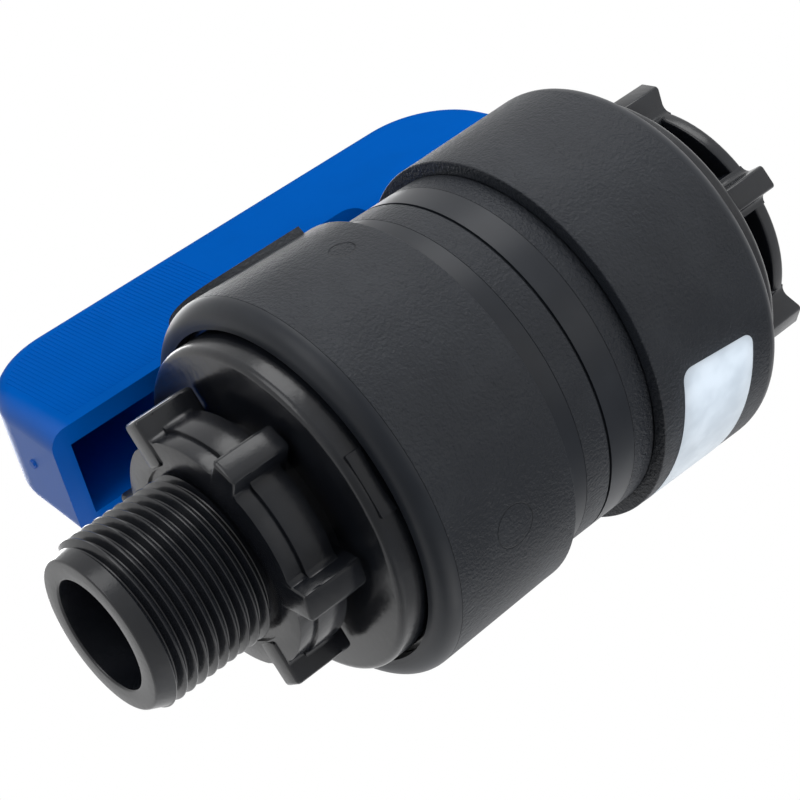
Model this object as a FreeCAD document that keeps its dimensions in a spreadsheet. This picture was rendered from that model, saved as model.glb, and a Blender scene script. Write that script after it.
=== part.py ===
import FreeCAD, Part
import Sketcher
import math
import os
import re

V = FreeCAD.Vector

# A plastic ball valve with two union nuts. The flow axis is X, the stem axis is parallel to Z,
# and the origin is the centre of the male thread's end face. All sizes are in millimetres.
# Every piece is drawn about the ball's centre and then placed at the stem's station, so a
# distance called u below is counted from the ball's centre along the flow axis.

doc = FreeCAD.newDocument("ball_valve")

DIMENSIONS = {
    # places along the flow axis
    "stem_station": 69.5,
    "band_half": 8.95,
    "body_half": 30.0,
    # valve body
    "band_radius": 28.57,
    "body_screw_radius": 28.2,
    "parting_width": 0.5,
    "parting_depth": 0.4,
    "end_recess_radius": 22.0,
    # union nuts
    "nut_gap": 0.3,
    "nut_wall": 2.1,
    "nut_taper": 0.5,
    "nut_lip_thickness": 1.9,
    "nut_lip_gap": 0.8,
    "nut_lip_round": 3.0,
    "nut_end_round": 1.8,
    "nut_chamber_depth": 0.25,
    "nut_chamber_margin": 1.0,
    "nut_pad_rise": 1.35,
    "nut_pad_half_width": 9.5,
    "nut_pad_length": 12.9,
    "nut_pad_sink": 1.65,
    "left_nut_turn": 42.0,
    "right_nut_turn": -75.0,
    # male tailpiece
    "thread_radius": 13.22,
    "thread_start": 2.9,
    "thread_pitch": 1.814,
    "thread_depth": 1.16,
    "thread_crest": 0.4,
    "male_bore": 8.75,
    "collar_front": 20.0,
    "collar_step": 2.9,
    "collar_step_radius": 18.1,
    "collar_length": 8.0,
    "collar_radius": 18.6,
    "male_tube_radius": 15.2,
    "male_lug_radius": 21.5,
    "male_lug_setback": 0.0,
    # female tailpiece
    "socket_radius": 12.06,
    "socket_depth": 17.0,
    "socket_end": 47.9,
    "socket_tube_radius": 16.0,
    "socket_bore": 10.0,
    "end_ring_radius": 20.4,
    "end_ring_thickness": 3.8,
    "female_lug_radius": 24.3,
    "female_turn": 25.6,
    # both tailpieces
    "flange_radius": 26.5,
    "flange_thickness": 6.2,
    "flange_round": 1.1,
    "shoulder_thickness": 2.5,
    "lug_width": 3.7,
    "lug_root": 1.0,
    "lug_count": 6,
    # ball, seats and seat carrier
    "ball_radius": 18.5,
    "ball_bore": 10.0,
    "slot_width": 6.3,
    "slot_floor": 14.0,
    "seat_bore": 10.2,
    "seat_radius": 15.6,
    "seat_front": 12.4,
    "seat_back": 18.0,
    "chamber_radius": 19.3,
    "chamber_end": 12.0,
    "seat_wall": 5.5,
    "carrier_radius": 20.2,
    "carrier_length": 12.8,
    "key_slot_width": 4.0,
    "key_slot_depth": 2.5,
    # seal rings: radius of each round section, then where it lies
    "seat_ring_section": 0.95,
    "seat_ring_radius": 13.0,
    "carrier_ring_section": 0.9,
    "carrier_ring_setback": 8.5,
    "face_ring_section": 1.3,
    "face_ring_radius": 25.3,
    "stem_ring_section": 0.9,
    "lower_ring_height": 27.0,
    "upper_ring_height": 33.0,
    # stem and neck, with heights above the flow axis
    "stem_radius": 7.0,
    "tang_length": 13.0,
    "collar_height": 19.0,
    "stem_collar_radius": 9.0,
    "stem_collar_thickness": 3.0,
    "washer_thickness": 0.8,
    "neck_radius": 9.2,
    "neck_top": 39.6,
    "square_width": 8.6,
    "stop_height": 2.4,
    "stop_wall": 1.6,
    "stop_angle": 50.0,
    "quarter_turn": 90.0,
    # handle
    "handle_half_length": 52.1,
    "handle_half_width": 9.4,
    "handle_rim": 33.0,
    "handle_top": 61.1,
    "handle_end_lean": 2.4,
    "handle_end_round": 15.1,
    "handle_edge_round": 3.0,
    "handle_wall": 3.1,
    "arch_half": 16.3,
    "arch_top": 42.4,
    "arch_round": 2.5,
    "hub_radius": 9.0,
    "screw_radius": 1.9,
    "screw_length": 14.0,
    "screw_head_radius": 4.0,
    "screw_head_height": 2.2,
    "screw_head_cover": 0.4,
    "screw_shelf": 4.5,
    # clearances
    "screw_play": 0.3,
    "turning_play": 0.05,
    "ball_play": 0.15,
    "fitting_play": 0.1,
    "groove_play": 0.2,
    "free_play": 0.4,
    "stop_play": 1.0,
}

sizes = doc.addObject("Spreadsheet::Sheet", "Sizes")
for row, (alias, number) in enumerate(DIMENSIONS.items(), start=1):
    sizes.set(f"A{row}", alias)
    sizes.set(f"B{row}", str(number))
    sizes.setAlias(f"B{row}", alias)
doc.recompute()

CELL_NAMES = re.compile(r"\b(" + "|".join(sorted(DIMENSIONS, key=len, reverse=True)) + r")\b")

# Places that several pieces share, written once in terms of the cells
SHOULDER_FACE = "(body_half + shoulder_thickness)"
CARRIER_FRONT = "(chamber_end + fitting_play)"
CARRIER_BACK = "(chamber_end + fitting_play + carrier_length)"
SEAT_WALL_BACK = "(seat_back + seat_wall)"
NUT_BORE = "(body_screw_radius + screw_play)"
NUT_RADIUS = "(body_screw_radius + screw_play + nut_wall)"
NUT_LIP_RADIUS = "(body_screw_radius + screw_play + nut_wall + nut_taper)"
NUT_CHAMBER = "(body_screw_radius + screw_play + nut_chamber_depth)"
NUT_INNER_END = "(band_half + nut_gap)"
NUT_OUTER_END = "(body_half + shoulder_thickness + screw_play + nut_lip_thickness)"
SHOULDER_RADIUS = "(body_screw_radius + screw_play + nut_chamber_depth - free_play)"
FLANGE_OUTER = "(body_half + shoulder_thickness + flange_thickness)"
COLLAR_TOP = "(collar_height + stem_collar_thickness)"
WASHER_TOP = "(collar_height + stem_collar_thickness + turning_play + washer_thickness)"
HUB_FOOT = "(neck_top + free_play)"
SCREW_SEAT = "(handle_top - screw_head_height - screw_head_cover)"
SQUARE_TOP = "(handle_top - screw_head_height - screw_head_cover - screw_shelf)"


def bound(formula):
    """The formula with each cell's name made a reference to the sheet."""
    return CELL_NAMES.sub(r"Sizes.\1", str(formula))


def bind(thing, formulas):
    for name, formula in formulas.items():
        thing.setExpression(name, bound(formula))


def value(formula):
    """What a formula of cells comes to, read from a cell of its own on the sheet."""
    sizes.set("D1", "=" + str(formula))
    doc.recompute()
    return float(sizes.D1)


def own_plane(body, role):
    return next(f for f in body.Origin.OriginFeatures if f.Role == role)


def new_body(name, turn=None):
    """A body at the ball's centre, turned about the flow axis if a turn is given."""
    body = doc.addObject("PartDesign::Body", name)
    body.Label = name
    if turn is not None:
        body.Placement = FreeCAD.Placement(V(0, 0, 0), FreeCAD.Rotation(V(1, 0, 0), 1.0))
        bind(body, {"Placement.Rotation.Angle": turn})
    bind(body, {"Placement.Base.x": "stem_station"})
    return body


def new_sketch(body, name, plane, lift=None):
    """A sketch on one of the body's own planes, lifted along its normal if a lift is given."""
    sketch = body.newObject("Sketcher::SketchObject", name)
    sketch.AttachmentSupport = [(own_plane(body, plane), "")]
    sketch.MapMode = "FlatFace"
    if lift is not None:
        bind(sketch, {"AttachmentOffset.Base.z": lift})
    return sketch


def polygon(body, name, plane, corners, lift=None):
    """A closed outline whose corners are pairs of formulas, each held by two distances."""
    sketch = new_sketch(body, name, plane, lift)
    count = len(corners)
    angles = [2 * math.pi * i / count for i in range(count)]
    start = [V(math.cos(a), math.sin(a), 0) for a in angles]
    for i in range(count):
        sketch.addGeometry(Part.LineSegment(start[i], start[(i + 1) % count]), False)
    for i in range(count):
        sketch.addConstraint(Sketcher.Constraint("Coincident", i, 2, (i + 1) % count, 1))
    for i, corner in enumerate(corners):
        for kind, formula, first in (
            ("DistanceX", corner[0], start[i].x),
            ("DistanceY", corner[1], start[i].y),
        ):
            index = sketch.addConstraint(Sketcher.Constraint(kind, -1, 1, i, 1, first))
            bind(sketch, {f"Constraints[{index}]": formula})
    return sketch


def circle(body, name, radius, lift, u="0"):
    """A level circle at a height above the flow axis and a distance u along it."""
    sketch = new_sketch(body, name, "XY_Plane", lift)
    sketch.addGeometry(Part.Circle(V(1, 0, 0), V(0, 0, 1), 1), False)
    sketch.addConstraint(Sketcher.Constraint("PointOnObject", 0, 3, -1))
    for constraint, formula in (
        (Sketcher.Constraint("DistanceX", -1, 1, 0, 3, 1), u),
        (Sketcher.Constraint("Radius", 0, 1), radius),
    ):
        index = sketch.addConstraint(constraint)
        bind(sketch, {f"Constraints[{index}]": formula})
    return sketch


def rectangle(body, name, plane, low, high, lift=None):
    corners = [(low[0], low[1]), (high[0], low[1]), (high[0], high[1]), (low[0], high[1])]
    return polygon(body, name, plane, corners, lift)


def turned(body, name, corners, axis="H_Axis", angle="360", kind="Revolution"):
    """Turns an outline in the XZ plane about the flow axis, or about the stem axis."""
    sketch = polygon(body, name + "_outline", "XZ_Plane", corners)
    feature = body.newObject("PartDesign::" + kind, name)
    feature.Profile = sketch
    feature.ReferenceAxis = (sketch, [axis])
    bind(feature, {"Angle": angle})
    doc.recompute()
    return feature


def extruded(body, name, sketch, length, kind="Pad", back=False, middle=False):
    feature = body.newObject("PartDesign::" + kind, name)
    feature.Profile = sketch
    feature.Reversed = back
    feature.Midplane = middle
    bind(feature, {"Length": length})
    doc.recompute()
    return feature


def edged(body, name, base, wanted, size, kind="Fillet"):
    """Rounds or chamfers the edges of a feature that the test picks out."""
    names = [f"Edge{i}" for i, edge in enumerate(base.Shape.Edges, start=1) if wanted(edge)]
    feature = body.newObject("PartDesign::" + kind, name)
    feature.Base = (base, names)
    bind(feature, {"Radius" if kind == "Fillet" else "Size": size})
    doc.recompute()
    return feature


def near(a, b):
    return abs(a - b) < 1e-4


def is_ring(edge, u, radius):
    """True for a whole circle about the flow axis at the distance u."""
    curve = edge.Curve
    return isinstance(curve, Part.Circle) and near(curve.Radius, radius) and near(curve.Center.x, u)


def placed(thing, turn=None, u="0"):
    """Puts a primitive at the ball's centre, or at a distance u from it along the flow axis."""
    if turn is not None:
        thing.Placement = FreeCAD.Placement(V(0, 0, 0), turn)
    bind(thing, {"Placement.Base.x": f"stem_station + {u}"})
    return thing


def boolean(kind, name, base, tool):
    result = doc.addObject("Part::" + kind, name)
    result.Base = base
    result.Tool = tool
    result.Label = name
    doc.recompute()
    return result


ALONG_FLOW = FreeCAD.Rotation(V(0, 1, 0), 90)
parts = []


# Valve body: a thick tube with the seat wall cast in on the right, a seal groove in each end
# face, and a neck for the stem with a stop lug on its rim.
def seal_pocket(face, radius, section, sign):
    """Three sides of a face groove that a ring of this section lies in, from low radius up."""
    half = f"({section} + groove_play / 2)"
    floor = f"({face} - {sign} * (2 * {section} + groove_play))"
    return [
        (face, f"{radius} - {half}"),
        (floor, f"{radius} - {half}"),
        (floor, f"{radius} + {half}"),
        (face, f"{radius} + {half}"),
    ]


def make_valve_body():
    body = new_body("valve_body")
    left_groove = seal_pocket("-body_half", "face_ring_radius", "face_ring_section", "-1")
    right_groove = seal_pocket("body_half", "face_ring_radius", "face_ring_section", "1")
    seat_groove = seal_pocket("seat_back", "seat_ring_radius", "seat_ring_section", "-1")
    outline = [("-body_half", "end_recess_radius")]
    outline += left_groove
    outline += [
        ("-body_half", "body_screw_radius"),
        ("-band_half", "body_screw_radius"),
        ("-band_half", "band_radius"),
        ("-parting_width / 2", "band_radius"),
        ("-parting_width / 2", "band_radius - parting_depth"),
        ("parting_width / 2", "band_radius - parting_depth"),
        ("parting_width / 2", "band_radius"),
        ("band_half", "band_radius"),
        ("band_half", "body_screw_radius"),
        ("body_half", "body_screw_radius"),
    ]
    outline += right_groove[::-1]
    outline += [
        ("body_half", "end_recess_radius"),
        (SEAT_WALL_BACK, "end_recess_radius"),
        (SEAT_WALL_BACK, "seat_bore"),
        ("seat_back", "seat_bore"),
    ]
    outline += seat_groove
    outline += [
        ("seat_back", "seat_radius + fitting_play"),
        ("chamber_end", "seat_radius + fitting_play"),
        ("chamber_end", "chamber_radius"),
        ("-chamber_end", "chamber_radius"),
        ("-chamber_end", "carrier_radius + fitting_play"),
        (f"-{CARRIER_BACK}", "carrier_radius + fitting_play"),
        (f"-{CARRIER_BACK}", "end_recess_radius"),
    ]
    turned(body, "body_tube", outline)
    neck = circle(body, "neck_circle", "neck_radius", "neck_top")
    neck_foot = f"neck_top - {WASHER_TOP} + 1"
    extruded(body, "neck", neck, neck_foot, back=True)
    stop = [
        ("neck_radius - stop_wall", "neck_top - stop_wall"),
        ("neck_radius", "neck_top - stop_wall"),
        ("neck_radius", "neck_top + stop_height"),
        ("neck_radius - stop_wall", "neck_top + stop_height"),
    ]
    turned(body, "stop_lug", stop, axis="V_Axis", angle="stop_angle")
    seat = circle(body, "collar_circle", "stem_collar_radius + groove_play", WASHER_TOP)
    extruded(body, "collar_seat", seat, "ball_radius / 2", kind="Pocket")
    bore = circle(body, "stem_circle", "stem_radius + turning_play", "neck_top")
    extruded(body, "stem_bore", bore, f"neck_top - {WASHER_TOP} + 1", kind="Pocket")
    parts.append(body)


# Tailpieces: each has a spigot that fills the body's end recess, a shoulder that the union nut
# pulls against the body, a round flange and six wrench lugs.
def add_lugs(body, base, lug_radius, tube_radius, near_end, length, back):
    low = ("-lug_width / 2", f"{tube_radius} - lug_root")
    high = ("lug_width / 2", lug_radius)
    sketch = rectangle(body, "lug_outline", "YZ_Plane", low, high, lift=near_end)
    lug = extruded(body, "lug", sketch, length, back=back)
    pattern = body.newObject("PartDesign::PolarPattern", "lugs")
    pattern.Originals = [lug]
    pattern.Axis = (own_plane(body, "X_Axis"), [""])
    pattern.Angle = 360
    bind(pattern, {"Occurrences": "lug_count"})
    body.Tip = pattern
    doc.recompute()


def cut_thread(body):
    """The male thread, as one groove between two crests repeated at the thread's pitch."""
    first = "(thread_start - stem_station)"
    low, high = f"{first} + thread_crest / 2", f"{first} + thread_pitch - thread_crest / 2"
    groove = [
        (low, "thread_radius + thread_crest"),
        (low, "thread_radius"),
        (f"{first} + thread_pitch / 2", "thread_radius - thread_depth"),
        (high, "thread_radius"),
        (high, "thread_radius + thread_crest"),
    ]
    cut = turned(body, "thread_groove", groove, kind="Groove")
    pattern = body.newObject("PartDesign::LinearPattern", "thread")
    pattern.Originals = [cut]
    pattern.Direction = (own_plane(body, "X_Axis"), [""])
    count = "floor((collar_front - thread_start) / thread_pitch)"
    bind(pattern, {"Occurrences": count, "Length": f"thread_pitch * ({count} - 1)"})
    body.Tip = pattern
    doc.recompute()
    return pattern


def make_male_connector():
    body = new_body("male_connector")
    front = "(collar_front - stem_station)"
    outline = [
        ("-stem_station", "male_bore"),
        ("-stem_station", "thread_radius"),
        (front, "thread_radius"),
        (front, "collar_step_radius"),
        (f"{front} + collar_step", "collar_step_radius"),
        (f"{front} + collar_step", "collar_radius"),
        (f"{front} + collar_length", "collar_radius"),
        (f"{front} + collar_length", "male_tube_radius"),
        (f"-{FLANGE_OUTER}", "male_tube_radius"),
        (f"-{FLANGE_OUTER}", "flange_radius"),
        (f"-{SHOULDER_FACE}", "flange_radius"),
        (f"-{SHOULDER_FACE}", SHOULDER_RADIUS),
        ("-body_half", SHOULDER_RADIUS),
        ("-body_half", "end_recess_radius - fitting_play"),
        (f"-{CARRIER_BACK} - fitting_play", "end_recess_radius - fitting_play"),
        (f"-{CARRIER_BACK} - fitting_play", "male_bore"),
    ]
    tube = turned(body, "male_tube", outline)
    flange_u = -value(FLANGE_OUTER)
    wanted = lambda edge: is_ring(edge, flange_u, sizes.flange_radius)
    edged(body, "flange_edge", tube, wanted, "flange_round")
    rounded = cut_thread(body)
    length = f"stem_station - {FLANGE_OUTER} - collar_front - male_lug_setback"
    flange_front = f"-{FLANGE_OUTER}"
    add_lugs(body, rounded, "male_lug_radius", "male_tube_radius", flange_front, length, True)
    parts.append(body)


def make_female_connector():
    body = new_body("female_connector", turn="female_turn")
    outline = [
        (f"{SEAT_WALL_BACK} + fitting_play", "socket_bore"),
        (f"{SEAT_WALL_BACK} + fitting_play", "end_recess_radius - fitting_play"),
        ("body_half", "end_recess_radius - fitting_play"),
        ("body_half", SHOULDER_RADIUS),
        (SHOULDER_FACE, SHOULDER_RADIUS),
        (SHOULDER_FACE, "flange_radius"),
        (FLANGE_OUTER, "flange_radius"),
        (FLANGE_OUTER, "socket_tube_radius"),
        ("socket_end - end_ring_thickness", "socket_tube_radius"),
        ("socket_end - end_ring_thickness", "end_ring_radius"),
        ("socket_end", "end_ring_radius"),
        ("socket_end", "socket_radius"),
        ("socket_end - socket_depth", "socket_radius"),
        ("socket_end - socket_depth", "socket_bore"),
    ]
    tube = turned(body, "socket_tube", outline)
    flange_u = value(FLANGE_OUTER)
    wanted = lambda edge: is_ring(edge, flange_u, sizes.flange_radius)
    rounded = edged(body, "flange_edge", tube, wanted, "flange_round")
    length = f"socket_end - {FLANGE_OUTER}"
    lug_radius = "female_lug_radius"
    add_lugs(body, rounded, lug_radius, "socket_tube_radius", FLANGE_OUTER, length, False)
    parts.append(body)


# Union nuts: two like mouldings that face opposite ways. The lip bears on the tailpiece's
# shoulder, and a tongue-shaped gripping pad stands a little above the outside.
def make_union_nut(name, sign, turn):
    body = new_body(name, turn=turn)
    lip_face = f"({SHOULDER_FACE} + screw_play)"
    chamber_end = "(body_half - nut_chamber_margin)"
    outline = [
        (f"{sign} * {NUT_INNER_END}", NUT_BORE),
        (f"{sign} * {NUT_INNER_END}", NUT_RADIUS),
        (f"{sign} * {NUT_OUTER_END}", NUT_LIP_RADIUS),
        (f"{sign} * {NUT_OUTER_END}", "flange_radius + nut_lip_gap"),
        (f"{sign} * {lip_face}", "flange_radius + nut_lip_gap"),
        (f"{sign} * {lip_face}", NUT_CHAMBER),
        (f"{sign} * {chamber_end}", NUT_CHAMBER),
        (f"{sign} * {chamber_end}", NUT_BORE),
    ]
    ring = turned(body, "nut_ring", outline)
    lip_u, lip_radius = sign * value(NUT_OUTER_END), value(NUT_LIP_RADIUS)
    lip_edge = lambda edge: is_ring(edge, lip_u, lip_radius)
    lipped = edged(body, "lip_edge", ring, lip_edge, "nut_lip_round")
    end_u, end_radius = sign * value(NUT_INNER_END), value(NUT_RADIUS)
    end_edge = lambda edge: is_ring(edge, end_u, end_radius)
    edged(body, "end_edge", lipped, end_edge, "nut_end_round")
    pad_end = f"{sign} * ({NUT_INNER_END} + nut_end_round)"
    pad_shoulder = f"{sign} * ({NUT_INNER_END} + nut_pad_length)"
    pad_foot, pad_height = f"{NUT_RADIUS} - nut_pad_sink", "nut_pad_rise + nut_pad_sink"
    low, high = (pad_end, "-nut_pad_half_width"), (pad_shoulder, "nut_pad_half_width")
    sketch = rectangle(body, "pad_outline", "XY_Plane", low, high, lift=pad_foot)
    extruded(body, "pad_block", sketch, pad_height)
    tip = circle(body, "pad_tip_circle", "nut_pad_half_width", pad_foot, u=pad_shoulder)
    extruded(body, "pad_tip", tip, pad_height)
    pad_top = f"({NUT_RADIUS} + nut_pad_rise)"
    trim = [
        (f"{sign} * ({NUT_INNER_END} - 1)", pad_top),
        (f"{sign} * ({NUT_OUTER_END} + 1)", pad_top),
        (f"{sign} * ({NUT_OUTER_END} + 1)", f"{pad_top} + 5"),
        (f"{sign} * ({NUT_INNER_END} - 1)", f"{pad_top} + 5"),
    ]
    turned(body, "pad_trim", trim, kind="Groove")
    parts.append(body)


# Ball: a sphere with a round bore, and a slot across its top for the stem's tang.
def make_ball():
    sphere = placed(doc.addObject("Part::Sphere", "ball_sphere"))
    bind(sphere, {"Radius": "ball_radius"})
    bore = placed(doc.addObject("Part::Cylinder", "ball_bore_tool"), ALONG_FLOW, "-ball_radius")
    bind(bore, {"Radius": "ball_bore", "Height": "2 * ball_radius"})
    slot = placed(doc.addObject("Part::Box", "ball_slot_tool"), None, "-slot_width / 2")
    bind(
        slot,
        {
            "Length": "slot_width",
            "Width": "2 * ball_radius",
            "Height": "ball_radius",
            "Placement.Base.y": "-ball_radius",
            "Placement.Base.z": "slot_floor",
        },
    )
    bored = boolean("Cut", "bored_ball", sphere, bore)
    parts.append(boolean("Cut", "ball", bored, slot))


# Seats: soft rings whose face is the ball's own sphere with a little room.
def make_seat(name, sign):
    body = new_body(name)
    outline = [
        (f"{sign} * seat_front", "seat_bore"),
        (f"{sign} * seat_front", "seat_radius"),
        (f"{sign} * seat_back", "seat_radius"),
        (f"{sign} * seat_back", "seat_bore"),
    ]
    turned(body, "seat_blank", outline)
    face = body.newObject("PartDesign::SubtractiveSphere", "ball_face")
    bind(face, {"Radius": "ball_radius + ball_play"})
    doc.recompute()
    parts.append(body)


# Seat carrier: the insert that holds the left seat and is turned in through the body's end
# with a two-pin key.
def make_seat_carrier():
    body = new_body("seat_carrier")
    ring_u = f"({CARRIER_FRONT} + carrier_ring_setback)"
    half = "(carrier_ring_section + groove_play / 2)"
    floor = "(carrier_radius - 2 * carrier_ring_section)"
    seat_groove = seal_pocket("-seat_back", "seat_ring_radius", "seat_ring_section", "1")
    outline = [
        (f"-{CARRIER_FRONT}", "seat_radius + fitting_play"),
        (f"-{CARRIER_FRONT}", "carrier_radius"),
        (f"-{ring_u} + {half}", "carrier_radius"),
        (f"-{ring_u} + {half}", floor),
        (f"-{ring_u} - {half}", floor),
        (f"-{ring_u} - {half}", "carrier_radius"),
        (f"-{CARRIER_BACK}", "carrier_radius"),
        (f"-{CARRIER_BACK}", "seat_bore"),
        ("-seat_back", "seat_bore"),
    ]
    outline += seat_groove
    outline += [("-seat_back", "seat_radius + fitting_play")]
    turned(body, "carrier_tube", outline)
    low = ("-key_slot_width / 2", "-carrier_radius - 1")
    high = ("key_slot_width / 2", "carrier_radius + 1")
    slot = rectangle(body, "key_outline", "YZ_Plane", low, high, lift=f"-{CARRIER_BACK}")
    extruded(body, "key_slots", slot, "key_slot_depth", kind="Pocket", back=True)
    parts.append(body)


# Seal rings: plain round-section rings of rubber.
def make_ring(name, radius, section, turn=None, u="0", height=None):
    ring = placed(doc.addObject("Part::Torus", name), turn, u)
    bind(ring, {"Radius1": radius, "Radius2": section})
    if height is not None:
        bind(ring, {"Placement.Base.z": height})
    ring.Label = name
    parts.append(ring)


def make_seal_rings():
    seat_u = "(seat_back + seat_ring_section + groove_play / 2)"
    face_u = "(body_half - face_ring_section - groove_play / 2)"
    for side, sign in (("left", -1), ("right", 1)):
        seat_at, face_at = f"{sign} * {seat_u}", f"{sign} * {face_u}"
        make_ring(f"seat_ring_{side}", "seat_ring_radius", "seat_ring_section", ALONG_FLOW, seat_at)
        make_ring(f"face_ring_{side}", "face_ring_radius", "face_ring_section", ALONG_FLOW, face_at)
    carrier_u = f"-({CARRIER_FRONT} + carrier_ring_setback)"
    around = "carrier_radius - carrier_ring_section"
    make_ring("carrier_ring", around, "carrier_ring_section", ALONG_FLOW, carrier_u)
    around = "stem_radius - stem_ring_section"
    make_ring("stem_ring_lower", around, "stem_ring_section", height="lower_ring_height")
    make_ring("stem_ring_upper", around, "stem_ring_section", height="upper_ring_height")


# Stem: put in from inside the body, so that its collar holds it against the pressure. A flat
# tang drives the ball, two rings seal the shaft, and the handle sits on the square.
def make_stem():
    body = new_body("stem")
    half = "(stem_ring_section + groove_play / 2)"
    floor = "(stem_radius - 2 * stem_ring_section)"
    outline = [
        ("0", "collar_height"),
        ("stem_collar_radius", "collar_height"),
        ("stem_collar_radius", COLLAR_TOP),
        ("stem_radius", COLLAR_TOP),
    ]
    for height in ("lower_ring_height", "upper_ring_height"):
        outline += [
            ("stem_radius", f"{height} - {half}"),
            (floor, f"{height} - {half}"),
            (floor, f"{height} + {half}"),
            ("stem_radius", f"{height} + {half}"),
        ]
    outline += [("stem_radius", "neck_top"), ("0", "neck_top")]
    turned(body, "stem_shaft", outline, axis="V_Axis")
    low, high = ("-square_width / 2",) * 2, ("square_width / 2",) * 2
    square = rectangle(body, "square_outline", "XY_Plane", low, high, lift="neck_top")
    extruded(body, "square", square, f"{SQUARE_TOP} - neck_top")
    tang_half = "(slot_width / 2 - ball_play)"
    low = (f"-{tang_half}", "-tang_length / 2")
    high = (tang_half, "tang_length / 2")
    tang = rectangle(body, "tang_outline", "XY_Plane", low, high, lift="collar_height")
    extruded(body, "tang", tang, "collar_height - slot_floor - ball_play", back=True)
    hole = circle(body, "screw_hole_circle", "screw_radius + fitting_play", SQUARE_TOP)
    depth = "screw_length - screw_shelf + free_play"
    extruded(body, "screw_hole", hole, depth, kind="Pocket")
    parts.append(body)


def make_thrust_washer():
    body = new_body("thrust_washer")
    outline = [
        ("stem_radius + fitting_play", f"{COLLAR_TOP} + turning_play"),
        ("stem_collar_radius", f"{COLLAR_TOP} + turning_play"),
        ("stem_collar_radius", WASHER_TOP),
        ("stem_radius + fitting_play", WASHER_TOP),
    ]
    turned(body, "washer", outline, axis="V_Axis")
    parts.append(body)


# Handle: a bar moulded as a channel that is open towards the valve, with a hub in the middle
# that sits on the stem's square and a notch under the hub that meets the neck's stop lug.
def bar(name, half_length, half_width, foot, top, lean, round_ends):
    """A block whose ends lean in towards the top and whose two upper corners are rounded."""
    body = new_body(name)
    corners = [
        (f"-({half_length})", foot),
        (half_length, foot),
        (f"{half_length} - {lean}", top),
        (f"-({half_length} - {lean})", top),
    ]
    sketch = polygon(body, name + "_outline", "XZ_Plane", corners)
    block = extruded(body, name + "_block", sketch, f"2 * ({half_width})", middle=True)
    top_z = block.Shape.BoundBox.ZMax

    def is_top_corner(edge):
        ends = [v.Point for v in edge.Vertexes]
        return near(ends[0].x, ends[-1].x) and all(near(p.z, top_z) for p in ends)

    return body, edged(body, name + "_ends", block, is_top_corner, round_ends)


def make_handle():
    half_width = sizes.handle_half_width
    rim = sizes.handle_rim
    outside, rounded = bar(
        "handle_outside",
        "handle_half_length",
        "handle_half_width",
        "handle_rim",
        "handle_top",
        "handle_end_lean",
        "handle_end_round",
    )

    def is_long_edge(edge):
        ends = [v.Point for v in edge.Vertexes]
        flush = all(near(abs(p.y), half_width) for p in ends)
        return flush and near(ends[0].y, ends[-1].y) and any(p.z > rim + 0.01 for p in ends)

    edged(outside, "handle_edges", rounded, is_long_edge, "handle_edge_round")
    inside, _ = bar(
        "handle_inside",
        "handle_half_length - handle_wall",
        "handle_half_width - handle_wall",
        "handle_rim - 1",
        "handle_top - handle_wall",
        "handle_end_lean",
        "handle_end_round - handle_wall",
    )
    arch, _ = bar(
        "handle_arch",
        "arch_half",
        "handle_half_width + 1",
        "handle_rim - 1",
        "arch_top",
        "0",
        "arch_round",
    )
    shell = boolean("Cut", "handle_shell", outside, inside)
    shell = boolean("Cut", "handle_arched", shell, arch)
    hub = new_body("handle_hub")
    round_hub = circle(hub, "hub_circle", "hub_radius", HUB_FOOT)
    extruded(hub, "hub", round_hub, f"handle_top - handle_wall / 2 - {HUB_FOOT}")
    notch = new_body("stop_notch")
    notch.Placement = FreeCAD.Placement(V(0, 0, 0), FreeCAD.Rotation(V(0, 0, 1), -1.0))
    bind(notch, {"Placement.Base.x": "stem_station", "Placement.Rotation.Angle": "-stop_play"})
    inner = "neck_radius - stop_wall - free_play"
    notch_top = "neck_top + stop_height + free_play"
    outline = [
        (inner, "neck_top"),
        ("neck_radius + 1", "neck_top"),
        ("neck_radius + 1", notch_top),
        (inner, notch_top),
    ]
    sweep = "quarter_turn + stop_angle + 2 * stop_play"
    turned(notch, "notch", outline, axis="V_Axis", angle=sweep)
    socket = new_body("square_socket")
    half = "(square_width / 2 + fitting_play)"
    low, high = (f"-{half}", f"-{half}"), (half, half)
    square = rectangle(socket, "socket_outline", "XY_Plane", low, high, lift=f"{HUB_FOOT} - 1")
    extruded(socket, "socket", square, f"{SQUARE_TOP} + groove_play - {HUB_FOOT} + 1")
    screw_way = new_body("screw_way")
    outline = [
        ("0", SQUARE_TOP),
        ("screw_radius + groove_play", SQUARE_TOP),
        ("screw_radius + groove_play", SCREW_SEAT),
        ("screw_head_radius + groove_play", SCREW_SEAT),
        ("screw_head_radius + groove_play", "handle_top + 1"),
        ("0", "handle_top + 1"),
    ]
    turned(screw_way, "way", outline, axis="V_Axis")
    handle = boolean("Fuse", "handle_with_hub", shell, hub)
    handle = boolean("Cut", "handle_notched", handle, notch)
    handle = boolean("Cut", "handle_socketed", handle, socket)
    parts.append(boolean("Cut", "handle", handle, screw_way))


def make_handle_screw():
    body = new_body("handle_screw")
    foot = f"({SCREW_SEAT} - screw_length)"
    outline = [
        ("0", foot),
        ("screw_radius - 0.5", foot),
        ("screw_radius", f"{foot} + 1"),
        ("screw_radius", SCREW_SEAT),
        ("screw_head_radius", SCREW_SEAT),
        ("screw_head_radius", f"{SCREW_SEAT} + screw_head_height"),
        ("0", f"{SCREW_SEAT} + screw_head_height"),
    ]
    turned(body, "screw", outline, axis="V_Axis")
    parts.append(body)


make_valve_body()
make_male_connector()
make_female_connector()
make_union_nut("union_nut_left", -1, "left_nut_turn")
make_union_nut("union_nut_right", 1, "right_nut_turn")
make_ball()
make_seat("seat_left", -1)
make_seat("seat_right", 1)
make_seat_carrier()
make_seal_rings()
make_stem()
make_thrust_washer()
make_handle()
make_handle_screw()
doc.recompute()

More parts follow.
